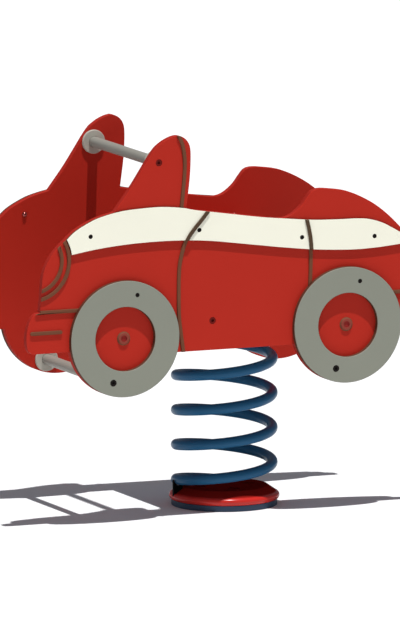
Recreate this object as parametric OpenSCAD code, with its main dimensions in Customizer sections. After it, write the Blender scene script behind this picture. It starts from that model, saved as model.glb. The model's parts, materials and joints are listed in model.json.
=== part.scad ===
// Spring rider: two board side panels shaped as a car, carried on one upright coil spring.
// Nose towards -X, the car's left side towards -Y, +Z up.
// The origin lies on the spring's axis, at ground level.

/* [Spring] */
// Thickness of the spring wire
wire_d = 20; // [14:1:24]
// Diameter of the coil at the middle of the wire
coil_d = 180; // [160:1:220]
// Rise of the coil in one turn
coil_pitch = 65.6; // [50:0.2:80]
// Turns between the two flat ends
coil_turns = 4.2; // [3:0.05:6]
// Direction in which the wire leaves its seat in the base, in degrees
coil_start = 66.7; // [60:0.1:72]
// Flat stretch of wire that lies in the base, in degrees
flat_low = 30; // [28:1:40]
// Flat stretch of wire under the head plate, in degrees
flat_high = 36; // [32:1:60]
// Depth of the wire's seat below the top of the base
wire_sink = 16.4; // [12:0.1:18]

/* [Base] */
// Diameter of the ground plate
ground_plate_d = 198; // [180:1:240]
// Thickness of the ground plate
ground_plate_t = 11; // [4:0.5:12]
// Diameter of the red base cap at its widest
base_cap_d = 207; // [195:1:250]
// Height of the base cap
base_cap_h = 25.5; // [25:0.5:45]
// Radius of the bead around the cap's edge
base_bead_r = 7; // [5:0.5:8]
// Distance from the cap's flat top out to its edge
base_slope_w = 22; // [18:0.5:22.5]
// Circle of the four anchor holes
anchor_pcd = 96; // [80:1:100]
// Diameter of an anchor hole
anchor_d = 13; // [9:0.5:15]
// Diameter of the seat for an anchor bolt's head
anchor_seat_d = 22; // [18:0.5:24]
// Depth of the seat for an anchor bolt's head
anchor_seat_depth = 12; // [6:0.5:16]

/* [Spring fixings] */
// Thickness of a clip's hook over the wire
clip_t = 4; // [2.5:0.5:6]
// Thickness of a clip's foot
clip_foot_t = 5; // [3:0.5:8]
// Length of a clip's foot, inwards from the wire
clip_foot_l = 18; // [17:0.5:20]
// Stretch of wire that a clip covers, in degrees
clip_sector = 16; // [12:1:17]
// Width of the black block under the wire
block_w = 6; // [5:0.5:9]
// Direction of the black block, in degrees past the point where the wire leaves its seat
block_turn = 111; // [109:1:117]
// Depth of the block's notch in the cap, from the cap's top
block_sink = 16.5; // [10:0.5:18]

/* [Side panels] */
// Width between the panels
inner_w = 300; // [260:1:360]
// Thickness of a panel
panel_t = 13; // [12:0.5:18]
// Length of a panel, bumper to bumper
panel_l = 816; // [780:1:860]
// Height of a panel from its sill to the top of the windscreen
panel_h = 405; // [390:1:430]
// Height of the sill above the underside of the head plate
sill_rise = 2.8; // [0:0.1:6]
// Width of the raised lines
line_w = 7; // [4:0.5:9]
// Height of the raised lines on their board
line_h = 3; // [1:0.25:4]
// Radius of the inner headlight line
lamp_inner_r = 57.5; // [50:0.5:60]
// Radius of the outer headlight line
lamp_outer_r = 72; // [69:0.5:76]

/* [Stripe] */
// Thickness of the stripe board
stripe_t = 4.5; // [4:0.25:6]
// Bare board between the outer headlight line and the stripe
stripe_set_off = 1.5; // [1:0.25:4]

/* [Wheels] */
// Diameter of a wheel ring
ring_d = 218; // [210:1:224]
// Hole of a wheel ring
ring_hole_d = 120; // [100:1:130]
// Thickness of a wheel ring
ring_t = 9.5; // [8.5:0.5:12]
// Chamfer on the edges of a wheel ring
ring_chamfer = 1; // [0.5:0.25:2]
// Direction of a ring's upper bolt, in degrees
ring_bolt_turn = 73.3; // [60:0.1:85]
// Diameter of a hub cap
hub_d = 26; // [20:0.5:34]
// Height of a hub cap
hub_h = 3; // [2.5:0.25:4.5]
// Diameter of a hub cap's flat face
hub_face_d = 20; // [15:0.5:20]
// Diameter of the dimple in a hub cap
hub_dimple_d = 12; // [8:0.5:14]
// Depth of the dimple in a hub cap
hub_dimple_depth = 1.75; // [1:0.25:2]

/* [Handlebar and footrest] */
// Diameter of both bars
bar_d = 20; // [18:0.5:28]
// Diameter of the round flange at a bar's end
flange_d = 45; // [36:0.5:52]
// Thickness of the flange
flange_t = 5; // [3:0.5:8]
// Chamfer on the flange's edge
flange_chamfer = 1; // [0.5:0.25:2]

/* [Carrier and seat] */
// Diameter of the head plate on the spring
head_plate_d = 204; // [200:1:230]
// Thickness of the head plate
head_plate_t = 8; // [6:0.5:12]
// Thickness of the cradle's sheet
cradle_t = 5; // [3:0.5:6]
// Length of the cradle
cradle_l = 240; // [220:1:260]
// Width of the lip under the seat
lip_w = 35; // [30:0.5:45]
// Inset of the cradle's bolts from its ends
cradle_bolt_inset = 26; // [22:0.5:34]
// Height of the cradle's side bolts above its floor
cradle_bolt_rise = 44.8; // [35:0.1:60]
// Length of the seat board
seat_l = 226; // [200:1:250]
// Thickness of the seat board
seat_t = 18; // [14:0.5:22]
// Corner radius of the seat board
seat_corner_r = 25; // [15:0.5:40]

/* [Fasteners] */
// Shank of a small bolt
small_bolt_d = 5; // [4:0.5:6]
// Head of a small bolt
small_head_d = 7.5; // [7:0.5:10]
// Height of a small bolt's head
small_head_h = 2.5; // [2:0.25:3]
// Shank of a large bolt
large_bolt_d = 8; // [7:0.5:9]
// Head of a large bolt
large_head_d = 12; // [11:0.5:14]
// Height of a large bolt's head
large_head_h = 5.5; // [4:0.25:6.5]
// Shank of a head plate bolt
head_bolt_d = 10; // [8:0.5:12]
// Head of a head plate bolt
head_bolt_head_d = 16; // [14:0.5:18]
// Height of a head plate bolt's head
head_bolt_head_h = 8; // [6:0.5:10]
// Distance between neighbouring head plate bolts
head_bolt_pitch = 90; // [84:1:94]

/* [Hidden] */
$fn = 64;

// Clearances
// Gap between the wire and what holds it
wire_gap = 0.35;
// Gap between the wire and its block, which stands on the slope
block_gap = 0.7;
// Gap around a bolt in its hole
hole_gap = 0.25;
// Gap around a bolt's head in its seat
head_gap = 0.5;
// Gap between a thread and its nut or tapped hole
thread_gap = 0.1;
// Gap between the seat board and the panels
seat_gap = 2;
// Gap around the black block in its notch
notch_gap = 0.2;
// Gap between a raised line and the boards beside it
line_gap = 0.4;
// Sink of a bolt's head below the board
head_sink = 0.5;
// Overrun of every cut past the surface it opens
overrun = 1;

// Heights, from the ground up
cap_top_z = ground_plate_t + base_cap_h;
wire_r = wire_d / 2;
coil_r = coil_d / 2;
coil_low_z = cap_top_z - wire_sink + wire_gap + wire_r;
coil_high_z = coil_low_z + coil_pitch * coil_turns;
head_low_z = coil_high_z + wire_r + wire_gap;
head_top_z = head_low_z + head_plate_t;
cradle_floor_z = head_top_z + cradle_t;
sill_z = head_low_z + sill_rise;
// Height of the seat above the sill, as a share of the panel's height
seat_share = 0.444;
seat_top_z = sill_z + panel_h * seat_share;
cradle_top_z = seat_top_z - seat_t;
cradle_h = cradle_top_z - head_top_z;

// Distances from the middle plane
inner_y = inner_w / 2;
outer_y = inner_y + panel_t;
stripe_y = outer_y + stripe_t;

// Shape of the coil
wire_sides = 12;
rings_per_turn = 24;
// Rings per turn where the wire lies in its fixings
end_rings_per_turn = 72;
// Stretch in which the wire bends from flat to its slope, in degrees
ease_turn = 20;
coil_slope = atan(coil_pitch / (PI * coil_d));
coil_top_turn = 360 * coil_turns;
// Turn at which the wire has climbed out of its seat in the base, in degrees
seat_turn = 360 * wire_sink / coil_pitch;
// Steps of the seat along the climbing wire
seat_steps = 5;
// Spare turn of the seat beyond each end of the wire in it, in degrees
seat_spare_turn = 2;

// Fixings on the spring's ends
clip_hook_r = wire_r + wire_gap + clip_t;
clip_foot_in_r = coil_r - wire_r - clip_foot_l;
clip_bolt_r = (clip_foot_in_r + coil_r - clip_hook_r) / 2;
// End of the hook above the middle of the wire, and start of the block under it, as shares of the wire
hook_end_share = 0.2;
block_reach_share = 0.6;
low_clip_dir = coil_start - (flat_low + ease_turn / 2) / 2;
high_clip_dir = coil_start + coil_top_turn + (flat_high + ease_turn / 2) / 2;
block_dir = coil_start + block_turn;
block_in_r = coil_r - wire_r * block_reach_share;
block_out_r = coil_r + wire_r + block_gap + clip_t / 2;
block_low_z = cap_top_z - block_sink;
// Threads in the base cap and their places, as shares of the cap
clip_bite_share = 0.5;
base_screw_bite_share = 0.45;
base_screw_place_share = 0.355;
clip_bolt_bite = base_cap_h * clip_bite_share;
base_screw_bite = base_cap_h * base_screw_bite_share;
base_screw_r = base_cap_d * base_screw_place_share;
base_screw_turn = 75;

// Panel places, as shares of its length from the bumper and of its height from the sill
nose_share = 0.5735;
front_wheel_shares = [0.2383, 0.0798];
rear_wheel_shares = [0.7898, 0.0798];
handlebar_shares = [0.326, 0.88];
lamp_shares = [0.016, 0.456];
stripe_bolt_shares = [[0.1556, 0.56], [0.4235, 0.56], [0.678, 0.497], [0.8586, 0.482]];

front_bumper_shares = [
    [0.015, 0.032], [0.004, 0.049], [0, 0.093], [0.002, 0.142], [0.01, 0.189], [0.02, 0.213], [0.033, 0.221]
];
nose_run_shares = [
    [0.033, 0.221], [0.037, 0.309], [0.04, 0.38], [0.047, 0.429], [0.06, 0.476], [0.078, 0.518],
    [0.096, 0.55], [0.116, 0.585], [0.141, 0.614], [0.175, 0.643], [0.216, 0.664]
];
windscreen_shares = [
    [0.216, 0.664], [0.259, 0.777], [0.309, 0.926], [0.33, 0.967], [0.352, 0.991], [0.371, 1], [0.386, 0.991],
    [0.398, 0.968], [0.404, 0.931], [0.404, 0.855], [0.401, 0.777], [0.393, 0.657]
];
dip_and_tail_shares = [
    [0.393, 0.657], [0.439, 0.645], [0.565, 0.607], [0.62, 0.591], [0.649, 0.599], [0.676, 0.637],
    [0.693, 0.679], [0.705, 0.706], [0.721, 0.716], [0.747, 0.713], [0.796, 0.695], [0.848, 0.646],
    [0.889, 0.587], [0.927, 0.513], [0.958, 0.442], [0.976, 0.375], [0.982, 0.297], [0.982, 0.218]
];
rear_bumper_shares = [
    [0.982, 0.218], [0.991, 0.206], [0.998, 0.174], [1, 0.105], [0.996, 0.049], [0.987, 0.032]
];
// Sill, with both ends inside the wheel lobes
sill_shares = [[0.91, 0.032], [0.89, 0], [0.135, 0], [0.118, 0.032]];
stripe_top_shares = [
    [0.083, 0.527], [0.096, 0.55], [0.116, 0.585], [0.141, 0.614], [0.175, 0.643], [0.228, 0.667],
    [0.279, 0.675], [0.33, 0.677], [0.381, 0.667], [0.414, 0.653], [0.455, 0.64], [0.506, 0.624],
    [0.574, 0.603], [0.653, 0.585], [0.712, 0.574], [0.772, 0.57], [0.813, 0.569], [0.844, 0.563],
    [0.876, 0.544], [0.903, 0.516], [0.927, 0.487], [0.956, 0.442]
];
stripe_low_shares = [
    [0.956, 0.442], [0.923, 0.439], [0.871, 0.43], [0.813, 0.426], [0.753, 0.431], [0.692, 0.441],
    [0.613, 0.461], [0.534, 0.484], [0.455, 0.506], [0.393, 0.516], [0.33, 0.519], [0.254, 0.515],
    [0.178, 0.502], [0.109, 0.481], [0.083, 0.47]
];
front_door_shares = [
    [0.451, 0.66], [0.43, 0.61], [0.409, 0.563], [0.3935, 0.519], [0.384, 0.47], [0.377, 0.412],
    [0.3745, 0.35], [0.374, 0.27], [0.375, 0.162], [0.381, 0.064], [0.387, -0.02]
];
rear_door_shares = [
    [0.688, 0.59], [0.697, 0.51], [0.701, 0.436], [0.701, 0.358], [0.699, 0.272], [0.695, 0.199]
];
screen_line_shares = [
    [0.372, 1.01], [0.384, 0.953], [0.389, 0.885], [0.388, 0.811], [0.384, 0.726], [0.38, 0.652]
];
upper_bumper_line_shares = [[0.01, 0.223], [0.14, 0.223]];
lower_bumper_line_shares = [[0.013, 0.1275], [0.083, 0.1275]];
rear_bumper_line_shares = [[0.87, 0.216], [1.01, 0.216]];
// Places of the door lines, counted from 0, from which they run on the panel below the stripe
front_door_low_place = 2;
rear_door_low_place = 1;
// Points between two places of an outline
run_steps = 5;

// Shares of a fastener's own sizes
socket_width_share = 0.8;
socket_depth_share = 0.6;
nut_width_share = 1.9;
nut_height_share = 0.8;
dome_width_share = 2;
dome_height_share = 0.9;
// Length of a bar's bolt in the bar
bar_bite_share = 1.25;
bar_bite = bar_d * bar_bite_share;
// Upright edge of a hub cap
hub_edge_share = 0.25;
// Direction from the bead's middle to the foot of the cap's slope
slope_foot_turn = 75;

left_front_wheel = place(front_wheel_shares);
left_rear_wheel = place(rear_wheel_shares);
handlebar_place = place(handlebar_shares);
lamp_place = place(lamp_shares);
ring_bolt_r = (ring_d + ring_hole_d) / 4;
ring_bolt_offset = [ring_bolt_r * cos(ring_bolt_turn), ring_bolt_r * sin(ring_bolt_turn)];
footrest_place = left_front_wheel - ring_bolt_offset;
rear_low_bolt_place = left_rear_wheel - ring_bolt_offset;
cradle_bolt_x = cradle_l / 2 - cradle_bolt_inset;
cradle_bolt_z = cradle_floor_z + cradle_bolt_rise;
seat_bolt_x = cradle_bolt_x - cradle_bolt_inset / 2;
seat_bolt_y = inner_y - lip_w / 2;

// Outline helpers

function place(shares) = [
    (shares[0] - nose_share) * panel_l,
    sill_z + shares[1] * panel_h
];

function curve_point(a, b, c, d, t) =
    b + ((c - a) * t + (2 * a - 5 * b + 4 * c - d) * t * t + (3 * b - a - 3 * c + d) * t * t * t) / 2;

// A smooth line through the places of a list of shares
function run(shares) =
    let (p = [for (s = shares) place(s)], last = len(p) - 1)
    [
        for (i = [0 : last - 1])
            let (before = i == 0 ? 2 * p[0] - p[1] : p[i - 1])
            let (after = i == last - 1 ? 2 * p[last] - p[last - 1] : p[i + 2])
            for (k = [0 : run_steps - 1])
                curve_point(before, p[i], p[i + 1], after, k / run_steps),
        p[last]
    ];

function side_step(points, i, reach) =
    let (a = points[max(i - 1, 0)], b = points[min(i + 1, len(points) - 1)], d = (b - a) / norm(b - a))
    points[i] + reach * [-d[1], d[0]];

function from_place(points, first) = [for (i = [first * run_steps : len(points) - 1]) points[i]];

// A line of even width along a list of points
module stroke(points, width) {
    last = len(points) - 1;
    polygon([
        for (i = [0 : last]) side_step(points, i, width / 2),
        for (i = [last : -1 : 0]) side_step(points, i, -width / 2)
    ]);
}

module panel_outline() {
    polygon(concat(
        run(front_bumper_shares), run(nose_run_shares), run(windscreen_shares), run(dip_and_tail_shares),
        run(rear_bumper_shares), [for (s = sill_shares) place(s)]
    ));
}

// Board of a panel before its holes, with a round lobe behind each wheel
module panel_blank() {
    linear_extrude(panel_t) panel_outline();
    for (centre = [left_front_wheel, left_rear_wheel])
        translate(centre) cylinder(d = ring_d, h = panel_t);
}

module stripe_outline() {
    difference() {
        polygon(concat(run(stripe_top_shares), run(stripe_low_shares)));
        translate(lamp_place) circle(r = lamp_outer_r + line_w / 2 + stripe_set_off);
    }
}

module lamp_line(r) {
    translate(lamp_place) difference() {
        circle(r = r + line_w / 2);
        circle(r = r - line_w / 2);
    }
}

// A level line with round ends
module bumper_line(shares) {
    polygon([
        for (end = [0, 1], k = [0 : 2 * run_steps])
            let (turn = 90 + 180 * end + 90 * k / run_steps)
            place(shares[end]) + line_w / 2 * [cos(turn), sin(turn)]
    ]);
}

module panel_lines() {
    stroke(from_place(run(front_door_shares), front_door_low_place), line_w);
    stroke(from_place(run(rear_door_shares), rear_door_low_place), line_w);
    stroke(run(screen_line_shares), line_w);
    lamp_line(lamp_inner_r);
    lamp_line(lamp_outer_r);
    bumper_line(upper_bumper_line_shares);
    bumper_line(lower_bumper_line_shares);
    bumper_line(rear_bumper_line_shares);
}

module stripe_lines() {
    stroke(run(front_door_shares), line_w);
    stroke(run(rear_door_shares), line_w);
}

// Placing helpers

// Turns a drawing of the left side upright, its height growing outwards from the given distance
module on_left(y) {
    translate([0, -y, 0]) rotate([90, 0, 0]) children();
}

module mirrored(right) {
    mirror([0, right ? 1 : 0, 0]) children();
}

module both_sides() {
    for (right = [false, true]) mirrored(right) children();
}

module rounded_plate(l, w, h, r) {
    for (inset = [[0, r], [r, 0]])
        translate([-l / 2 + inset[0], -w / 2 + inset[1], 0]) cube([l - 2 * inset[0], w - 2 * inset[1], h]);
    for (x = [-1, 1], y = [-1, 1])
        translate([x * (l / 2 - r), y * (w / 2 - r), 0]) cylinder(r = r, h = h);
}

// Fasteners, head upwards on z = 0

module bolt(d, head_d, head_h, reach) {
    difference() {
        cylinder(d = head_d, h = head_h);
        translate([0, 0, head_h * (1 - socket_depth_share)])
            cylinder(d = d * socket_width_share, h = head_h, $fn = 6);
    }
    translate([0, 0, -reach]) cylinder(d = d, h = reach);
}

// Hex nut, its face on z = 0 and its body below
module nut(d) {
    translate([0, 0, -d * nut_height_share]) difference() {
        cylinder(d = d * nut_width_share, h = d * nut_height_share, $fn = 6);
        translate([0, 0, -overrun]) cylinder(r = d / 2 + thread_gap, h = d * nut_height_share + 2 * overrun);
    }
}

// Domed nut, its face on z = 0 and its dome below
module dome_nut(d, bite) {
    w = d * dome_width_share;
    h = d * dome_height_share;
    difference() {
        mirror([0, 0, 1]) rotate_extrude() intersection() {
            square([w / 2, h]);
            scale([w / (2 * h), 1]) circle(r = h);
        }
        translate([0, 0, -bite]) cylinder(r = d / 2 + thread_gap, h = bite + overrun);
    }
}

module bolt_hole(d, from, to) {
    translate([0, 0, from]) cylinder(r = d / 2 + hole_gap, h = to - from);
}

// Seat for a head that is sunk into a face at z = top
module head_seat(head_d, head_h, top) {
    translate([0, 0, top - head_h - head_sink])
        cylinder(r = head_d / 2 + head_gap, h = head_h + head_sink + overrun);
}

// Base

module ground_plate() {
    color("slategray") difference() {
        cylinder(d = ground_plate_d, h = ground_plate_t);
        anchor_holes();
        for (i = [0 : 2]) rotate(base_screw_turn + i * 120) translate([base_screw_r, 0, 0]) {
            translate([0, 0, -overrun])
                cylinder(r = large_bolt_d / 2 + hole_gap, h = ground_plate_t + 2 * overrun);
            mirror([0, 0, 1]) head_seat(large_head_d, base_screw_head_h(), 0);
        }
    }
}

module anchor_holes() {
    for (i = [0 : 3]) rotate(i * 90) translate([anchor_pcd / 2, 0, -overrun])
        cylinder(d = anchor_d, h = cap_top_z + 2 * overrun);
}

// Low head that sinks into the ground plate
function base_screw_head_h() = ground_plate_t / 2;

module base_cap() {
    bead = [base_cap_d / 2 - base_bead_r, base_bead_r];
    slope_foot = bead + base_bead_r * [cos(slope_foot_turn), sin(slope_foot_turn)];
    slope_top = [base_cap_d / 2 - base_slope_w, base_cap_h];
    color("firebrick") difference() {
        translate([0, 0, ground_plate_t]) rotate_extrude() union() {
            polygon([[0, 0], [bead[0], 0], bead, slope_foot, slope_top, [0, base_cap_h]]);
            translate(bead) circle(r = base_bead_r);
        }
        anchor_holes();
        for (i = [0 : 3]) rotate(i * 90) translate([anchor_pcd / 2, 0, cap_top_z - anchor_seat_depth])
            cylinder(d = anchor_seat_d, h = anchor_seat_depth + overrun);
        for (i = [0 : 2]) rotate(base_screw_turn + i * 120) translate([base_screw_r, 0, 0])
            cylinder(r = large_bolt_d / 2 + thread_gap, h = ground_plate_t + base_screw_bite + overrun);
        rotate(low_clip_dir) translate([clip_bolt_r, 0, cap_top_z - clip_bolt_bite - overrun])
            cylinder(r = large_bolt_d / 2 + thread_gap, h = clip_bolt_bite + 2 * overrun);
        wire_seat();
        rotate(block_dir) translate([block_in_r - notch_gap, -block_w / 2 - notch_gap, block_low_z])
            cube([base_cap_d, block_w + 2 * notch_gap, base_cap_h]);
    }
}

// Ledge in the cap's rim that follows the wire up in steps
module wire_seat() {
    in_r = coil_r - wire_r - wire_gap;
    for (k = [0 : seat_steps - 1]) {
        low_turn = seat_turn * k / seat_steps;
        from = k == 0 ? -flat_low - seat_spare_turn : low_turn - seat_spare_turn;
        to = seat_turn * (k + 1) / seat_steps;
        floor_z = wire_z(k == 0 ? -flat_low : low_turn) - wire_r / cos(coil_slope) - wire_gap;
        rotate(coil_start + from) rotate_extrude(angle = to - from)
            translate([in_r, floor_z]) square([base_cap_d - in_r, cap_top_z - floor_z + overrun]);
    }
}

module base_screws() {
    color("dimgray") for (i = [0 : 2]) rotate(base_screw_turn + i * 120)
        translate([base_screw_r, 0, base_screw_head_h() + head_sink]) mirror([0, 0, 1])
            bolt(large_bolt_d, large_head_d, base_screw_head_h(),
                ground_plate_t - base_screw_head_h() - head_sink + base_screw_bite);
}

// Spring and its fixings

// Rise of the wire after a bend at turn 0, in degrees of full slope
function eased(turn) =
    turn < -ease_turn / 2 ? 0
    : turn > ease_turn / 2 ? turn
    : (turn + ease_turn / 2) * (turn + ease_turn / 2) / (2 * ease_turn);

function wire_z(turn) = coil_low_z + coil_pitch * (eased(turn) - eased(turn - coil_top_turn)) / 360;

function wire_point(turn) =
    [coil_r * cos(coil_start + turn), coil_r * sin(coil_start + turn), wire_z(turn)];

// Even turns from one to another, without the last
function turns_between(from, to, per_turn) =
    let (steps = ceil((to - from) * per_turn / 360))
    [for (i = [0 : steps - 1]) from + (to - from) * i / steps];

coil_turn_list = concat(
    turns_between(-flat_low, block_turn + ease_turn, end_rings_per_turn),
    turns_between(block_turn + ease_turn, coil_top_turn, rings_per_turn),
    turns_between(coil_top_turn, coil_top_turn + flat_high, end_rings_per_turn),
    [coil_top_turn + flat_high]
);
coil_rings = len(coil_turn_list) - 1;
coil_line = [for (t = coil_turn_list) wire_point(t)];

// Ring of points around the wire, square to its run
function wire_ring(i) =
    let (turn = coil_turn_list[i], dir = coil_start + turn, out = [cos(dir), sin(dir), 0])
    let (nudge = 1 / rings_per_turn, along = wire_point(turn + nudge) - wire_point(turn - nudge))
    let (up = cross(out, along / norm(along)))
    [for (k = [0 : wire_sides - 1])
        coil_line[i] + wire_r * (cos(360 * k / wire_sides) * out + sin(360 * k / wire_sides) * up)];

least_turn_gap = min([
    for (i = [0 : coil_rings - 1], j = [i + 1 : coil_rings])
        if (coil_turn_list[j] - coil_turn_list[i] > 180) norm(coil_line[i] - coil_line[j])
]) - wire_d;
echo("Least gap between turns", least_turn_gap);

module coil_spring() {
    points = [for (i = [0 : coil_rings]) each wire_ring(i)];
    wall = [for (i = [0 : coil_rings - 1], k = [0 : wire_sides - 1])
        let (a = i * wire_sides + k, b = i * wire_sides + (k + 1) % wire_sides)
        each [[a, b, a + wire_sides], [b, b + wire_sides, a + wire_sides]]];
    end = coil_rings * wire_sides;
    caps = [for (k = [1 : wire_sides - 2]) each [[0, k + 1, k], [end, end + k, end + k + 1]]];
    color("steelblue") polyhedron(points, concat(wall, caps), convexity = 12);
}

// Hook from a foot inside the coil over the flat wire, on a face at z = 0, the wire's middle at z = rise
module spring_clip(dir, rise) {
    color("black") difference() {
        rotate(dir - clip_sector / 2) rotate_extrude(angle = clip_sector) difference() {
            union() {
                translate([coil_r, rise]) circle(r = clip_hook_r);
                translate([clip_foot_in_r, 0]) square([clip_foot_l, clip_foot_t]);
            }
            translate([coil_r, rise]) circle(r = wire_r + wire_gap);
            translate([coil_r, rise + wire_r * hook_end_share - base_cap_d]) square(base_cap_d);
            translate([0, -base_cap_d]) square([coil_r, base_cap_d]);
        }
        rotate(dir) translate([clip_bolt_r, 0, 0]) bolt_hole(large_bolt_d, -overrun, clip_foot_t + overrun);
    }
}

module clip_bolt(dir, bite) {
    color("dimgray") rotate(dir) translate([clip_bolt_r, 0, clip_foot_t])
        bolt(large_bolt_d, large_head_d, large_head_h, clip_foot_t + bite);
}

// Places a fixing on top of the base cap
module on_cap() {
    translate([0, 0, cap_top_z]) children();
}

// Places a fixing upside down under the head plate
module under_head() {
    translate([0, 0, head_low_z]) mirror([0, 0, 1]) children();
}

module lower_clip() { on_cap() spring_clip(low_clip_dir, coil_low_z - cap_top_z); }
module lower_clip_bolt() { on_cap() clip_bolt(low_clip_dir, clip_bolt_bite); }
module upper_clip() { under_head() spring_clip(high_clip_dir, head_low_z - coil_high_z); }
module upper_clip_bolt() { under_head() clip_bolt(high_clip_dir, head_plate_t - thread_gap); }

// Block that stands in a notch of the cap's rim and cradles the rising wire
module wire_block() {
    block_z = wire_z(block_turn);
    color("black") difference() {
        rotate(block_dir) translate([block_in_r, -block_w / 2, block_low_z])
            cube([block_out_r - block_in_r, block_w, block_z - block_low_z]);
        rotate(block_dir) translate([coil_r, 0, block_z]) rotate([coil_slope, 0, 0]) rotate([90, 0, 0])
            cylinder(r = wire_r + block_gap, h = 2 * block_w, center = true);
    }
}

// Carrier

module head_bolt_places() {
    for (x = [-1, 1], y = [-1, 1])
        translate([x * head_bolt_pitch / 2, y * head_bolt_pitch / 2, 0]) children();
}

module head_plate() {
    color("dimgray") difference() {
        translate([0, 0, head_low_z]) cylinder(d = head_plate_d, h = head_plate_t);
        head_bolt_places() bolt_hole(head_bolt_d, head_low_z - overrun, head_top_z + overrun);
        rotate(high_clip_dir) translate([clip_bolt_r, 0, head_low_z - overrun])
            cylinder(r = large_bolt_d / 2 + thread_gap, h = head_plate_t + 2 * overrun);
    }
}

module head_bolts() {
    color("dimgray") head_bolt_places() {
        translate([0, 0, cradle_floor_z]) bolt(head_bolt_d, head_bolt_head_d, head_bolt_head_h,
            cradle_t + head_plate_t + head_bolt_d);
        translate([0, 0, head_low_z]) nut(head_bolt_d);
    }
}

module seat_bolt_places() {
    for (x = [-1, 1], y = [-1, 1]) translate([x * seat_bolt_x, y * seat_bolt_y, 0]) children();
}

module cradle_bolt_places() {
    for (x = [-1, 1]) translate([x * cradle_bolt_x, cradle_bolt_z, 0]) children();
}

// One folded sheet: floor, two sides against the panels, and a lip inwards on each
module seat_cradle() {
    color("dimgray") difference() {
        translate([-cradle_l / 2, -inner_y, head_top_z]) cube([cradle_l, inner_w, cradle_h]);
        translate([-cradle_l / 2 - overrun, -inner_y + cradle_t, cradle_floor_z])
            cube([cradle_l + 2 * overrun, inner_w - 2 * cradle_t, cradle_h - 2 * cradle_t]);
        translate([-cradle_l / 2 - overrun, -inner_y + lip_w, cradle_floor_z])
            cube([cradle_l + 2 * overrun, inner_w - 2 * lip_w, cradle_h]);
        head_bolt_places() bolt_hole(head_bolt_d, head_top_z - overrun, cradle_floor_z + overrun);
        seat_bolt_places() bolt_hole(large_bolt_d, cradle_top_z - cradle_t - overrun,
            cradle_top_z + overrun);
        both_sides() on_left(inner_y) cradle_bolt_places()
            bolt_hole(large_bolt_d, -cradle_t - overrun, overrun);
    }
}

module cradle_bolts() {
    seat_floor = panel_t - large_head_h - head_sink;
    color("dimgray") both_sides() on_left(inner_y) cradle_bolt_places() {
        translate([0, 0, seat_floor]) bolt(large_bolt_d, large_head_d, large_head_h,
            seat_floor + cradle_t + large_bolt_d);
        translate([0, 0, -cradle_t]) nut(large_bolt_d);
    }
}

module seat_board() {
    color("firebrick") difference() {
        translate([0, 0, cradle_top_z]) rounded_plate(seat_l, inner_w - 2 * seat_gap, seat_t, seat_corner_r);
        seat_bolt_places() {
            bolt_hole(large_bolt_d, cradle_top_z - overrun, seat_top_z);
            head_seat(large_head_d, large_head_h, seat_top_z);
        }
    }
}

module seat_bolts() {
    seat_floor = seat_t - large_head_h - head_sink;
    color("dimgray") seat_bolt_places() {
        translate([0, 0, cradle_top_z + seat_floor]) bolt(large_bolt_d, large_head_d, large_head_h,
            seat_floor + cradle_t + large_bolt_d);
        translate([0, 0, cradle_top_z - cradle_t]) nut(large_bolt_d);
    }
}

// Side panels and stripes

module stripe_bolt_places() {
    for (s = stripe_bolt_shares) translate(place(s)) children();
}

module side_panel(right) {
    color("firebrick") mirrored(right) on_left(inner_y) difference() {
        panel_blank();
        stripe_bolt_places() bolt_hole(small_bolt_d, -overrun, panel_t + overrun);
        for (centre = [left_front_wheel, left_rear_wheel]) {
            translate(centre + ring_bolt_offset) bolt_hole(small_bolt_d, -overrun, panel_t + overrun);
            translate(centre - ring_bolt_offset) bolt_hole(large_bolt_d, -overrun, panel_t + overrun);
        }
        translate(handlebar_place) {
            bolt_hole(large_bolt_d, -overrun, panel_t);
            head_seat(large_head_d, large_head_h, panel_t);
        }
        cradle_bolt_places() {
            bolt_hole(large_bolt_d, -overrun, panel_t);
            head_seat(large_head_d, large_head_h, panel_t);
        }
    }
}

module side_stripe(right) {
    color("ivory") mirrored(right) on_left(outer_y) difference() {
        linear_extrude(stripe_t) stripe_outline();
        stripe_bolt_places() {
            bolt_hole(small_bolt_d, -overrun, stripe_t);
            head_seat(small_head_d, small_head_h, stripe_t);
        }
    }
}

module across_lines() {
    translate([0, 0, -overrun]) linear_extrude(line_h + 2 * overrun) children();
}

// Raised lines on the panel, short of the rings and the stripe, and on the stripe
module side_trim(right) {
    color("saddlebrown") mirrored(right) {
        on_left(outer_y) difference() {
            intersection() {
                linear_extrude(line_h) panel_lines();
                across_lines() panel_outline();
            }
            for (centre = [left_front_wheel, left_rear_wheel])
                translate(centre) across_lines() circle(r = ring_d / 2 + line_gap);
            for (shift = [-line_gap, line_gap]) translate([0, shift, 0]) across_lines() stripe_outline();
        }
        on_left(stripe_y) intersection() {
            linear_extrude(line_h) stripe_lines();
            across_lines() stripe_outline();
        }
    }
}

module stripe_bolts(right) {
    seat_floor = panel_t + stripe_t - small_head_h - head_sink;
    color("dimgray") mirrored(right) on_left(inner_y) stripe_bolt_places() {
        translate([0, 0, seat_floor])
            bolt(small_bolt_d, small_head_d, small_head_h, seat_floor + small_bolt_d / 2);
        dome_nut(small_bolt_d, small_bolt_d / 2 + thread_gap);
    }
}

// Wheels

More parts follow.
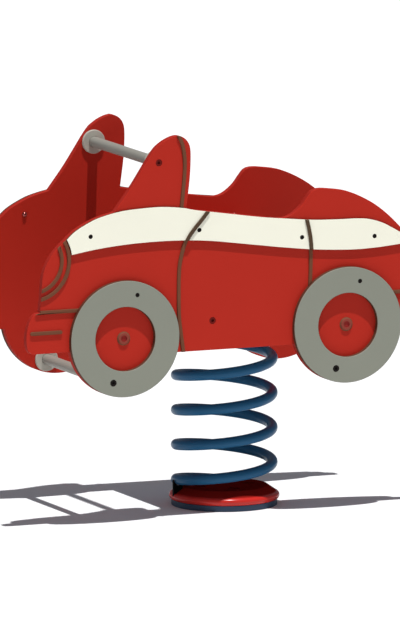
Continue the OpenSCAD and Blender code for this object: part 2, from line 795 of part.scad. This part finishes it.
module wheel_ring(centre, right) {
    low_r = ring_hole_d / 2;
    high_r = ring_d / 2;
    color("gray") mirrored(right) on_left(outer_y) translate(centre) difference() {
        rotate_extrude() polygon([
            [low_r, 0], [high_r, 0], [high_r, ring_t - ring_chamfer], [high_r - ring_chamfer, ring_t],
            [low_r + ring_chamfer, ring_t], [low_r, ring_t - ring_chamfer]
        ]);
        translate(ring_bolt_offset) {
            bolt_hole(small_bolt_d, -overrun, ring_t);
            head_seat(small_head_d, small_head_h, ring_t);
        }
        translate(-ring_bolt_offset) {
            bolt_hole(large_bolt_d, -overrun, ring_t);
            head_seat(large_head_d, large_head_h, ring_t);
        }
    }
}

module hub_cap(centre, right) {
    color("firebrick") mirrored(right) on_left(outer_y) translate(centre) rotate_extrude() polygon([
        [0, 0], [hub_d / 2, 0], [hub_d / 2, hub_h * hub_edge_share], [hub_face_d / 2, hub_h],
        [hub_dimple_d / 2, hub_h], [hub_dimple_d / 2, hub_h - hub_dimple_depth], [0, hub_h - hub_dimple_depth]
    ]);
}

module upper_wheel_bolts() {
    seat_floor = panel_t + ring_t - small_head_h - head_sink;
    color("dimgray") both_sides() on_left(inner_y) for (centre = [left_front_wheel, left_rear_wheel])
        translate(centre + ring_bolt_offset) {
            translate([0, 0, seat_floor])
                bolt(small_bolt_d, small_head_d, small_head_h, seat_floor + small_bolt_d / 2);
            dome_nut(small_bolt_d, small_bolt_d / 2 + thread_gap);
        }
}

module rear_wheel_bolts() {
    seat_floor = panel_t + ring_t - large_head_h - head_sink;
    color("dimgray") both_sides() on_left(inner_y) translate(rear_low_bolt_place) {
        translate([0, 0, seat_floor])
            bolt(large_bolt_d, large_head_d, large_head_h, seat_floor + large_bolt_d / 2);
        dome_nut(large_bolt_d, large_bolt_d / 2 + thread_gap);
    }
}

// Bars between the panels

module cross_bar(at) {
    color("darkgray") on_left(-inner_y) translate(at) difference() {
        cylinder(d = bar_d, h = inner_w);
        for (z = [-overrun, inner_w - bar_bite - overrun]) translate([0, 0, z])
            cylinder(r = large_bolt_d / 2 + thread_gap, h = bar_bite + 2 * overrun);
    }
}

module bar_flange(at, right) {
    color("silver") mirrored(right) on_left(inner_y - flange_t) translate(at) difference() {
        rotate_extrude() polygon([
            [0, 0], [flange_d / 2 - flange_chamfer, 0], [flange_d / 2, flange_chamfer],
            [flange_d / 2, flange_t], [0, flange_t]
        ]);
        bolt_hole(bar_d, -overrun, flange_t + overrun);
    }
}

module bar_bolts(at, board_t) {
    seat_floor = board_t - large_head_h - head_sink;
    color("dimgray") both_sides() on_left(inner_y) translate(at) translate([0, 0, seat_floor])
        bolt(large_bolt_d, large_head_d, large_head_h, seat_floor + bar_bite);
}

ground_plate();
base_cap();
base_screws();
wire_block();
lower_clip();
lower_clip_bolt();
coil_spring();
upper_clip();
upper_clip_bolt();
head_plate();
head_bolts();
seat_cradle();
cradle_bolts();
seat_board();
seat_bolts();
side_panel(false);  // left_panel
side_panel(true);  // right_panel
side_stripe(false);  // left_stripe
side_stripe(true);  // right_stripe
stripe_bolts(false);  // left_stripe_bolts
stripe_bolts(true);  // right_stripe_bolts
side_trim(false);  // left_trim
side_trim(true);  // right_trim
wheel_ring(left_front_wheel, false);  // front_left_wheel
wheel_ring(left_front_wheel, true);  // front_right_wheel
wheel_ring(left_rear_wheel, false);  // rear_left_wheel
wheel_ring(left_rear_wheel, true);  // rear_right_wheel
hub_cap(left_front_wheel, false);  // front_left_hub
hub_cap(left_front_wheel, true);  // front_right_hub
hub_cap(left_rear_wheel, false);  // rear_left_hub
hub_cap(left_rear_wheel, true);  // rear_right_hub
upper_wheel_bolts();
rear_wheel_bolts();
cross_bar(handlebar_place);  // handlebar
bar_flange(handlebar_place, false);  // left_handlebar_flange
bar_flange(handlebar_place, true);  // right_handlebar_flange
bar_bolts(handlebar_place, panel_t);  // handlebar_bolts
cross_bar(footrest_place);  // footrest
bar_flange(footrest_place, false);  // left_footrest_flange
bar_flange(footrest_place, true);  // right_footrest_flange
bar_bolts(footrest_place, panel_t + ring_t);  // footrest_bolts
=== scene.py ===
"""Looks of a playground spring rider: a board car on one blue coil spring.

Nose towards -X, the car's left side towards -Y, up is +Z, all in metres.
"""
import json
import math

import bpy
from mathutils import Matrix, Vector


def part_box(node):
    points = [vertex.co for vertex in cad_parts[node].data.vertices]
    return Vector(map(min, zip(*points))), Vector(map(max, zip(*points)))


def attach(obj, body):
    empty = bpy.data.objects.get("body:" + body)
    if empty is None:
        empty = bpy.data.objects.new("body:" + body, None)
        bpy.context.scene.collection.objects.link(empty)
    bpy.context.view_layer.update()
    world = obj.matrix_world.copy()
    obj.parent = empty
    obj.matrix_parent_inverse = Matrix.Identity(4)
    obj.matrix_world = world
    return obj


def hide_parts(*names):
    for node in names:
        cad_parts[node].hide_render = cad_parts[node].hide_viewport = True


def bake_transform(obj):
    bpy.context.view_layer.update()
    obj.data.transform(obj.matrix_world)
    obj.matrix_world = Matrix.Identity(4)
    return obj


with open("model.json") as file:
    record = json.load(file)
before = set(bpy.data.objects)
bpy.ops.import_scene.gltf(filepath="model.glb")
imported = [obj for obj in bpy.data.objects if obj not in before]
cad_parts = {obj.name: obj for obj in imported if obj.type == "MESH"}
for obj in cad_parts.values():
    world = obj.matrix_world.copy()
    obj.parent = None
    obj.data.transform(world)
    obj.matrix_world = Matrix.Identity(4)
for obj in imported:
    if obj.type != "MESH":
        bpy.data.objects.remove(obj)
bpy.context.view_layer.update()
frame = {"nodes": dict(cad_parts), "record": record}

MM = 0.001
FULL_TURN = 360
X, Y, Z = range(3)

# Camera: where the photograph was taken from, and the scale it has at the spring's axis
PHOTO_SIZE = (400, 636)
AXIS_FOOT_PIXEL = (224.195, 503.6)
PIXEL = 1.8696 * MM
CAMERA_TURN = math.radians(23.3)
CAMERA_RISE = math.radians(8.56)
LENS = 900
SENSOR = 36
FARTHEST = 200

# Light
SUN_TOWARDS = (0.13, -1, 4.2)
SUN_STRENGTH = 3.95
SUN_SIZE = math.radians(0.7)
SKY_LIGHT = 0.21
SKY_TINT = (0.9, 0.95, 1.08, 1)
WHITE = (1, 1, 1, 1)
FLOOR_SIZE = 14
FLOOR_SHADE = 0.8

# Roundings of the boards' edges, and where they stop
PANEL_EDGE = 0.8 * MM
STRIPE_EDGE = 0.5 * MM
LINE_EDGE = 1 * MM
SEAT_EDGE = 3 * MM
LEAST_RIM = 40 * MM
DIMPLE_REACH = 6.3 * MM

# Surface of the boards: sizes of its marks, tones with how far each kind of mark shifts them, and
# the painted shade of their backs
SKIN_DEPTH = 0.6 * MM
BOARD_CLOUD = 90 * MM
BOARD_GRAIN = 0.9 * MM
GRAIN_DETAIL = 3
GRAIN_DEPTH = 0.05 * MM
GRAIN_STRENGTH = 0.5
CORE_LAYER = 1 * MM
LAYER_STRETCH = 0.02
SKIN_TONE = 0.95
SKIN_CLOUDS = 0.06
SKIN_GRAIN = 0.04
# Painted shade: the backs of the boards, between the panels and under the seat, are darkened
BACK_PAINTED_SHADE = 0.88
CORE_TONE = 0.8
CORE_LAYERS = 0.3
CORE_GRAIN = 0.1
CORE_ROUGH = 0.72
SKIN_SMOOTHER = 0.3
ROUGH_GRAIN = 0.1
BOARD_SHEEN = 0.08

# Surface of the coats on metal, in the same way
COAT_CLOUD = 60 * MM
COAT_TONE = 0.94
COAT_CLOUDS = 0.1
COAT_PEEL = 0.03
COAT_ROUGH_SWING = 0.08
PEEL_STRENGTH = 0.6

# Surface of the bolts: their nuts between the panels, with a red tint as painted reflection of the
# panels, and their heads outside
BOLT_GRAIN = 0.6 * MM
BOLT_GRAIN_DEPTH = 0.03 * MM
BOLT_SHEEN = 0.15
NUT_TONE = 0.9
NUT_GRAIN = 0.2
NUT_METAL = 0.9
NUT_ROUGH = 0.22
HEAD_TONE = 0.85
HEAD_GRAIN = 0.3
HEAD_ROUGHER = 0.3
RED_BOLTS = ("cradle_bolts", "handlebar_bolts")

# Surface of the base cap: dull, painted darker on top as the car's shadow, with a coat that shines
# along the bead
BEAD_START_SHARE = 0.92
BEAD_FULL_SHARE = 0.96
CAP_CLOUD = 50 * MM
CAP_TOP_PAINTED_SHADE = 0.4
CAP_TONE = 0.94
CAP_CLOUDS = 0.12
CAP_ROUGH = 0.7
CAP_PEEL = 5 * MM
CAP_PEEL_DEPTH = 0.05 * MM
BEAD_COAT = 0.6
BEAD_COAT_ROUGH = 0.22

# Spring wire, as its formula goes in the frame
WIRE_R = 10 * MM
COIL_R = 90 * MM
COIL_START = 66.7
COIL_LOW_Z = 30.45 * MM
COIL_PITCH = 65.6 * MM
COIL_TURN = 1512
FLAT_LOW = 30
FLAT_HIGH = 36
EASE_TURN = 20
POINT_TURN = 6
WIRE_ROUNDNESS = 8

# Meshes
MERGE = 0.002 * MM
LEVEL = 0.02 * MM
FLAT_ANGLE = math.radians(0.4)
SMOOTH_ANGLE = math.radians(32)

# Places of the sockets of a colour mix
MIX_SHARE = 0
MIX_FIRST = 6
MIX_SECOND = 7
MIX_COLOUR = 2


def shade(red, green, blue):
    """Linear colour of a shade given as 0 to 255 on screen, by the screen's standard curve"""
    parts = [value / 255 for value in (red, green, blue)]
    linear = [p / 12.92 if p <= 0.04045 else ((p + 0.055) / 1.055) ** 2.4 for p in parts]
    return (*linear, 1)


RED = shade(185, 44, 31)
RED_EDGE = shade(160, 37, 27)
RED_DEEP = shade(110, 18, 12)
CREAM = shade(255, 253, 233)
GREY = shade(143, 145, 132)
BROWN = shade(116, 72, 52)
BROWN_DARK = shade(84, 66, 50)
RING_EDGE = shade(92, 56, 42)
HUB_FACE = shade(140, 66, 54)
HUB_DIMPLE = shade(150, 46, 42)
SPRING_BLUE = shade(36, 88, 124)
CAP_RED = shade(190, 40, 33)
PLATE_BLUE = shade(56, 74, 96)
STEEL = shade(168, 170, 172)
BLACK = shade(5, 4, 4)
BAR_GREY = shade(140, 137, 128)
# Painted light: the flanges are a lighter grey than the bars, for how lit they look
FLANGE_LIT_GREY = shade(176, 172, 160)
BOLT_DARK = shade(26, 21, 18)
# Painted reflection: the shiny nuts are tinted with the red they would mirror from the panels
NUT_PAINTED_REFLECTION = shade(158, 84, 80)


class Signal:
    """A socket of a material, for sums written as plain Python"""

    def __init__(self, paint, socket):
        self.paint = paint
        self.socket = socket

    def __add__(self, other):
        return self.paint.sum("ADD", self, other)

    def __rsub__(self, other):
        return self.paint.sum("SUBTRACT", other, self)

    def __mul__(self, other):
        return self.paint.sum("MULTIPLY", self, other)

    def __lt__(self, other):
        return self.paint.sum("LESS_THAN", self, other)

    def __gt__(self, other):
        return self.paint.sum("GREATER_THAN", self, other)

    def __abs__(self):
        return self.paint.sum("ABSOLUTE", self, 0)

    __radd__ = __add__
    __rmul__ = __mul__


class Paint:
    """The nodes of one material or of the world"""

    def __init__(self, tree):
        self.tree = tree
        self.tree.nodes.clear()

    def node(self, kind, settings=None, inputs=None, output=0):
        made = self.tree.nodes.new(kind)
        for name, value in (settings or {}).items():
            setattr(made, name, value)
        for name, value in (inputs or {}).items():
            if isinstance(value, Signal):
                self.tree.links.new(value.socket, made.inputs[name])
            else:
                made.inputs[name].default_value = value
        return Signal(self, made.outputs[output]) if len(made.outputs) else made

    def sum(self, operation, first, second):
        return self.node("ShaderNodeMath", {"operation": operation}, {0: first, 1: second})

    def place(self):
        return self.node("ShaderNodeTexCoord", output="Object")

    def axes(self):
        parts = self.node("ShaderNodeSeparateXYZ", inputs={0: self.place()}).socket.node.outputs
        return [Signal(self, part) for part in parts]

    def noise(self, size, detail=2, stretch=(1, 1, 1)):
        """Soft spots about as wide as size, from 0 to 1"""
        at = self.node("ShaderNodeMapping", inputs={"Vector": self.place(), "Scale": stretch})
        spots = {"Vector": at, "Scale": 1 / size, "Detail": detail}
        return self.node("ShaderNodeTexNoise", inputs=spots)

    def mix(self, share, first, second):
        ends = {MIX_SHARE: share, MIX_FIRST: first, MIX_SECOND: second}
        return self.node("ShaderNodeMix", {"data_type": "RGBA"}, ends, MIX_COLOUR)

    def scaled(self, colour, factor):
        parts = {0: colour[:3], "Scale": factor}
        return self.node("ShaderNodeVectorMath", {"operation": "SCALE"}, parts)

    def bump(self, height, depth, strength):
        relief = {"Height": height, "Distance": depth, "Strength": strength}
        return self.node("ShaderNodeBump", inputs=relief)

    def surface(self, **inputs):
        named = {name.replace("_", " "): value for name, value in inputs.items()}
        coat = self.node("ShaderNodeBsdfPrincipled", inputs=named)
        self.node("ShaderNodeOutputMaterial", inputs={"Surface": coat})


def paint_for(name):
    material = bpy.data.materials.new(name)
    material.use_nodes = True
    return material, Paint(material.node_tree)


def board(name, skin, core, axis, face, back=None):
    """Compact board: a core that shows on the edges, under a coloured skin on its face

    Where the distance of its back is given, the back has the skin as well, a little darker as
    painted shade.
    """
    material, p = paint_for(name)
    depth = abs(p.axes()[axis])
    cloud = p.noise(BOARD_CLOUD)
    grain = p.noise(BOARD_GRAIN, GRAIN_DETAIL)
    layers = p.noise(CORE_LAYER, stretch=[1 if i == axis else LAYER_STRETCH for i in (X, Y, Z)])
    skin_tone = SKIN_TONE + SKIN_CLOUDS * cloud + SKIN_GRAIN * grain
    core_tone = CORE_TONE + CORE_LAYERS * layers + CORE_GRAIN * grain
    skinned = depth > face - SKIN_DEPTH
    colour = p.mix(skinned, p.scaled(core, core_tone), p.scaled(skin, skin_tone))
    if back:
        on_back = depth < back + SKIN_DEPTH
        # Painted shade on the back's skin
        colour = p.mix(on_back, colour, p.scaled(skin, BACK_PAINTED_SHADE * skin_tone))
        skinned = skinned + on_back
    p.surface(
        Base_Color=colour,
        Roughness=CORE_ROUGH - SKIN_SMOOTHER * skinned + ROUGH_GRAIN * grain,
        Specular_IOR_Level=BOARD_SHEEN,
        Normal=p.bump(grain, GRAIN_DEPTH, GRAIN_STRENGTH),
    )
    return material


def coated(name, colour, rough, sheen, peel, peel_depth, metal=0.0):
    """Paint or powder coat on metal, with its orange peel"""
    material, p = paint_for(name)
    cloud = p.noise(COAT_CLOUD)
    bumps = p.noise(peel)
    p.surface(
        Base_Color=p.scaled(colour, COAT_TONE + COAT_CLOUDS * cloud + COAT_PEEL * bumps),
        Roughness=rough - COAT_ROUGH_SWING / 2 + COAT_ROUGH_SWING * cloud,
        Metallic=metal,
        Specular_IOR_Level=sheen,
        Normal=p.bump(bumps, peel_depth, PEEL_STRENGTH),
    )
    return material


def bolted(name, head):
    """Bolts with shiny nuts between the panels, tinted red as a painted reflection of the red
    panels, and dark or painted heads outside
    """
    material, p = paint_for(name)
    outside = abs(p.axes()[Y]) > panel_low
    grain = p.noise(BOLT_GRAIN)
    # Painted reflection on the nuts
    nut_painted_reflection = p.scaled(NUT_PAINTED_REFLECTION, NUT_TONE + NUT_GRAIN * grain)
    head_colour = p.scaled(head, HEAD_TONE + HEAD_GRAIN * grain)
    p.surface(
        Base_Color=p.mix(outside, nut_painted_reflection, head_colour),
        Metallic=NUT_METAL - NUT_METAL * outside,
        Roughness=NUT_ROUGH + HEAD_ROUGHER * outside,
        Specular_IOR_Level=BOLT_SHEEN,
        Normal=p.bump(grain, BOLT_GRAIN_DEPTH, GRAIN_STRENGTH),
    )
    return material


def only(piece):
    bpy.ops.object.select_all(action="DESELECT")
    piece.select_set(True)
    bpy.context.view_layer.objects.active = piece


def copy_of(node):
    """A new piece from a merged copy of a CAD node's mesh"""
    piece = bpy.data.objects.new(node + "_piece", frame["nodes"][node].data.copy())
    bpy.context.collection.objects.link(piece)
    only(piece)
    piece.data.materials.clear()
    bpy.ops.mesh.customdata_custom_splitnormals_clear()
    bpy.ops.object.mode_set(mode="EDIT")
    bpy.ops.mesh.select_all(action="SELECT")
    bpy.ops.mesh.remove_doubles(threshold=MERGE)
    bpy.ops.mesh.dissolve_limited(angle_limit=FLAT_ANGLE)
    bpy.ops.mesh.select_all(action="DESELECT")
    bpy.ops.object.mode_set(mode="OBJECT")
    return piece


def walls_of(mesh):
    """The faces beside each edge"""
    beside = {}
    for face in mesh.polygons:
        for key in face.edge_keys:
            beside.setdefault(key, []).append(face)
    return beside


def select_rims(piece, axis, low, high):
    """Selects the edges of a board where a wall runs through its whole thickness"""
    mesh = piece.data
    at = [abs(vertex.co[axis]) for vertex in mesh.vertices]
    beside = walls_of(mesh)
    for edge in mesh.edges:
        ends = [at[i] for i in edge.vertices]
        level = any(all(abs(end - face) < LEVEL for end in ends) for face in (low, high))
        walls = [[at[i] for i in wall.vertices] for wall in beside[edge.key]]
        spans = any(min(wall) < low + LEVEL and max(wall) > high - LEVEL for wall in walls)
        edge.select = level and spans


def drop_small_loops(piece, least):
    """Deselects loops of edges smaller across than a length, such as the rims of bolt holes"""
    mesh = piece.data
    chosen = [edge for edge in mesh.edges if edge.select]
    loops = {}
    for edge in chosen:
        joined = set(edge.vertices)
        for i in edge.vertices:
            joined |= loops.get(i, set())
        for i in joined:
            loops[i] = joined
    for edge in chosen:
        spots = [mesh.vertices[i].co for i in loops[edge.vertices[0]]]
        spans = [max(along) - min(along) for along in zip(*spots)]
        edge.select = max(spans) > least


def select_tops(piece, axis, levels):
    """Selects the edges that lie at one of the given distances"""
    at = [abs(vertex.co[axis]) for vertex in piece.data.vertices]
    for edge in piece.data.edges:
        edge.select = any(all(abs(at[i] - level) < LEVEL for i in edge.vertices) for level in levels)


def bevel_selected(piece, width, segments):
    only(piece)
    bpy.ops.object.mode_set(mode="EDIT")
    bpy.ops.mesh.bevel(offset=width, segments=segments, affect="EDGES", clamp_overlap=False)
    bpy.ops.object.mode_set(mode="OBJECT")


def bevel_sharp(piece, width, segments):
    only(piece)
    bpy.ops.object.mode_set(mode="EDIT")
    bpy.ops.mesh.select_mode(type="EDGE")
    bpy.ops.mesh.edges_select_sharp(sharpness=SMOOTH_ANGLE)
    bpy.ops.object.mode_set(mode="OBJECT")
    bevel_selected(piece, width, segments)


def smooth(piece):
    """Round surfaces shade round, flat ones stay flat"""
    only(piece)
    bpy.ops.object.shade_smooth_by_angle(angle=SMOOTH_ANGLE)
    bpy.ops.object.modifier_add(type="WEIGHTED_NORMAL")
    bpy.context.object.modifiers[-1].keep_sharp = True
    bpy.ops.object.modifier_apply(modifier=bpy.context.object.modifiers[-1].name)


slots = {part["node"]: part["material_slot"] for part in frame["record"]["subparts"]}
body_nodes = frame["record"]["behaviour"]["bodies"]
bodies = {node: body for body, nodes in body_nodes.items() for node in nodes}


def fit(piece, node, material):
    """Puts a rigid piece in the place of its CAD node"""
    piece.data.materials.append(material)
    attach(piece, bodies[node])
    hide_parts(node)


# Camera

across = Vector((math.cos(CAMERA_TURN), -math.sin(CAMERA_TURN), 0))
ahead = Vector((
    math.sin(CAMERA_TURN) * math.cos(CAMERA_RISE),
    math.cos(CAMERA_TURN) * math.cos(CAMERA_RISE),
    -math.sin(CAMERA_RISE),
))
upwards = across.cross(ahead)
aim_across = PHOTO_SIZE[0] / 2 - AXIS_FOOT_PIXEL[0]
aim_up = AXIS_FOOT_PIXEL[1] - PHOTO_SIZE[1] / 2
target = PIXEL * (across * aim_across + upwards * aim_up)
camera = bpy.data.objects.new("camera", bpy.data.cameras.new("camera"))
camera.data.lens = LENS
camera.data.sensor_width = SENSOR
camera.location = target - ahead * LENS * PHOTO_SIZE[1] * PIXEL / SENSOR
camera.rotation_euler = ahead.to_track_quat("-Z", "Y").to_euler()
camera.data.clip_end = FARTHEST
bpy.context.collection.objects.link(camera)
bpy.context.scene.camera = camera

# Boards

panel_low = abs(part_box("right_panel")[0][1])
panel_high = abs(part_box("right_panel")[1][1])
stripe_high = abs(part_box("right_stripe")[1][1])
ring_high = abs(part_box("front_right_wheel")[1][1])
hub_high = abs(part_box("front_right_hub")[1][1])
line_rise = abs(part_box("right_trim")[1][1]) - stripe_high
seat_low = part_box("seat_board")[0][2]
seat_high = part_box("seat_board")[1][2]

red_board = board("red_board", RED, RED_EDGE, Y, panel_high, panel_low)
cream_board = board("cream_board", CREAM, BROWN_DARK, Y, stripe_high)
grey_board = board("grey_board", GREY, RING_EDGE, Y, ring_high)
hub_board = board("hub_board", HUB_FACE, BROWN, Y, hub_high)
dimple_paint = board("dimple_paint", HUB_DIMPLE, HUB_DIMPLE, Y, hub_high)
seat_red = board("seat_red", RED, RED_EDGE, Z, seat_high, seat_low)
line_board = board("line_board", BROWN_DARK, BROWN, Y, stripe_high + SKIN_DEPTH)


def paint_dimple(hub, node):
    """Gives the floor of a hub's dimple its own colour"""
    hub.data.materials.append(dimple_paint)
    low, high = (Vector(corner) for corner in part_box(node))
    middle = (low + high) / 2
    for face in hub.data.polygons:
        away = face.center - middle
        inside = math.hypot(away.x, away.z) < DIMPLE_REACH
        face.material_index = 1 if inside and abs(face.center.y) < hub_high - SKIN_DEPTH else 0


for side in ("left", "right"):
    panel = copy_of(side + "_panel")
    select_rims(panel, Y, panel_low, panel_high)
    drop_small_loops(panel, LEAST_RIM)
    bevel_selected(panel, PANEL_EDGE, segments=3)
    smooth(panel)
    fit(panel, side + "_panel", red_board)
    stripe = copy_of(side + "_stripe")
    select_tops(stripe, Y, (stripe_high,))
    drop_small_loops(stripe, LEAST_RIM)
    bevel_selected(stripe, STRIPE_EDGE, segments=2)
    smooth(stripe)
    fit(stripe, side + "_stripe", cream_board)
    lines = copy_of(side + "_trim")
    select_tops(lines, Y, (panel_high + line_rise, stripe_high + line_rise))
    bevel_selected(lines, LINE_EDGE, segments=2)
    smooth(lines)
    fit(lines, side + "_trim", line_board)
    for end in ("front", "rear"):
        ring = copy_of(f"{end}_{side}_wheel")
        smooth(ring)
        fit(ring, f"{end}_{side}_wheel", grey_board)
        hub = copy_of(f"{end}_{side}_hub")
        smooth(hub)
        fit(hub, f"{end}_{side}_hub", hub_board)
        paint_dimple(hub, f"{end}_{side}_hub")

seat = copy_of("seat_board")
select_rims(seat, Z, seat_low, seat_high)
bevel_selected(seat, SEAT_EDGE, segments=4)
smooth(seat)
fit(seat, "seat_board", seat_red)

# Metal

spring_coat = coated(
    "spring_coat", SPRING_BLUE, rough=0.34, sheen=0.12, peel=3 * MM, peel_depth=0.1 * MM
)
plate_coat = coated(
    "plate_coat", PLATE_BLUE, rough=0.5, sheen=0.2, peel=2 * MM, peel_depth=0.1 * MM
)
carrier_zinc = coated(
    "carrier_zinc", STEEL, rough=0.45, sheen=0.3, peel=4 * MM, peel_depth=0.1 * MM, metal=0.85
)
fixing_coat = coated(
    "fixing_coat", BLACK, rough=0.6, sheen=0.04, peel=1.5 * MM, peel_depth=0.1 * MM
)
bar_coat = coated(
    "bar_coat", BAR_GREY, rough=0.46, sheen=0.15, peel=1.5 * MM, peel_depth=0.06 * MM
)
flange_coat = coated(
    "flange_coat", FLANGE_LIT_GREY, rough=0.5, sheen=0.15, peel=1.5 * MM, peel_depth=0.06 * MM
)
bolt_steel = bolted("bolt_steel", BOLT_DARK)
bolt_red = bolted("bolt_red", RED_DEEP)

cap_coat, p = paint_for("cap_coat")
x, y, _ = p.axes()
cap_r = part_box("base_cap")[1][0]
bead = p.node("ShaderNodeMapRange", {"interpolation_type": "SMOOTHSTEP"}, {
    "Value": p.sum("SQRT", x * x + y * y, 0),
    "From Min": cap_r * BEAD_START_SHARE,
    "From Max": cap_r * BEAD_FULL_SHARE,
})
# Painted shade: inside the bead the cap's top is darkened as in the car's shadow
cap_painted_shade = CAP_TOP_PAINTED_SHADE + (1 - CAP_TOP_PAINTED_SHADE) * bead
p.surface(
    Base_Color=p.scaled(CAP_RED, cap_painted_shade * (CAP_TONE + CAP_CLOUDS * p.noise(CAP_CLOUD))),
    Roughness=CAP_ROUGH,
    Specular_IOR_Level=0.0,
    Coat_Weight=BEAD_COAT * bead,
    Coat_Roughness=BEAD_COAT_ROUGH,
    Normal=p.bump(p.noise(CAP_PEEL), CAP_PEEL_DEPTH, GRAIN_STRENGTH),
)

# The coat of each slot, and the rounding of its edges
METAL = {
    "base_red": (cap_coat, 0.5 * MM),
    "ground_plate_blue": (plate_coat, 0.8 * MM),
    "carrier_steel": (carrier_zinc, 0.8 * MM),
    "fixing_black": (fixing_coat, 0.8 * MM),
    "bar_grey": (bar_coat, 0.5 * MM),
    "fastener_steel": (bolt_steel, 0.35 * MM),
}
for node, slot in slots.items():
    if slot in METAL:
        metal, edge = METAL[slot]
        # Painted light: the flanges take a lighter copy of the bars' coat
        if node.endswith("_flange"):
            metal = flange_coat
        if node in RED_BOLTS:
            metal = bolt_red
        part = copy_of(node)
        bevel_sharp(part, edge, segments=2)
        smooth(part)
        fit(part, node, metal)

# Spring


def eased(turn):
    """How far the wire has climbed, in degrees of its full climb, with a soft start"""
    if turn < -EASE_TURN / 2:
        return 0
    if turn > EASE_TURN / 2:
        return turn
    return (turn + EASE_TURN / 2) ** 2 / (2 * EASE_TURN)


def wire_point(turn):
    angle = math.radians(COIL_START + turn)
    rise = COIL_PITCH * (eased(turn) - eased(turn - COIL_TURN)) / FULL_TURN
    return (COIL_R * math.cos(angle), COIL_R * math.sin(angle), COIL_LOW_Z + rise, 1)


def wire(name, first, last):
    """The round wire between two of its turns, as one closed mesh"""
    path = bpy.data.curves.new(name, "CURVE")
    path.dimensions = "3D"
    path.twist_mode = "Z_UP"
    path.bevel_depth = WIRE_R
    path.bevel_resolution = WIRE_ROUNDNESS
    path.use_fill_caps = True
    steps = round((last - first) / POINT_TURN)
    spline = path.splines.new("POLY")
    spline.points.add(steps)
    for i, point in enumerate(spline.points):
        point.co = wire_point(first + (last - first) * i / steps)
    piece = bpy.data.objects.new(name, path)
    bpy.context.collection.objects.link(piece)
    only(piece)
    bpy.ops.object.convert(target="MESH")
    piece = bpy.context.object
    bpy.ops.object.mode_set(mode="EDIT")
    bpy.ops.mesh.select_all(action="SELECT")
    bpy.ops.mesh.remove_doubles(threshold=MERGE)
    bpy.ops.mesh.normals_make_consistent(inside=False)
    bpy.ops.object.mode_set(mode="OBJECT")
    bpy.ops.object.shade_smooth_by_angle(angle=SMOOTH_ANGLE)
    piece.data.materials.append(spring_coat)
    return piece


middle_turn = COIL_TURN / 2
coil_low = COIL_LOW_Z + WIRE_R
coil_high = COIL_LOW_Z + COIL_PITCH * COIL_TURN / FULL_TURN - WIRE_R
coil_middle = (coil_low + coil_high) / 2
lower_coil = wire("lower_coil", -FLAT_LOW, middle_turn)
upper_coil = wire("upper_coil", middle_turn, COIL_TURN + FLAT_HIGH)
coil_middle - WIRE_R
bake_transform(lower_coil)
coil_middle + WIRE_R
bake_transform(upper_coil)
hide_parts("coil_spring")
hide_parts("coil_spring")

# Floor, light and background

bpy.ops.object.select_all(action="DESELECT")
bpy.ops.mesh.primitive_plane_add(size=FLOOR_SIZE)
floor = bpy.context.object
floor.name = "floor"
floor_paint, p = paint_for("floor_paint")
floor_colour = (FLOOR_SHADE, FLOOR_SHADE, FLOOR_SHADE, 1)
p.surface(Base_Color=floor_colour, Roughness=1.0, Specular_IOR_Level=0.0)
floor.data.materials.append(floor_paint)

sun = bpy.data.objects.new("sun", bpy.data.lights.new("sun", "SUN"))
sun.data.energy = SUN_STRENGTH
sun.data.angle = SUN_SIZE
sun.rotation_euler = Vector(SUN_TOWARDS).to_track_quat("Z", "Y").to_euler()
bpy.context.collection.objects.link(sun)

# The background is white, and lights the object as a dimmer, bluish sky
world = bpy.data.worlds.new("backdrop")
world.use_nodes = True
bpy.context.scene.world = world
p = Paint(world.node_tree)
rays = p.node("ShaderNodeLightPath").socket.node.outputs
plain = Signal(p, rays["Is Camera Ray"])
sky = p.node("ShaderNodeBackground", inputs={
    "Color": p.mix(plain, SKY_TINT, WHITE),
    "Strength": SKY_LIGHT + (1 - SKY_LIGHT) * plain,
})
p.node("ShaderNodeOutputWorld", inputs={"Surface": sky})
bpy.context.scene.view_settings.view_transform = "Standard"
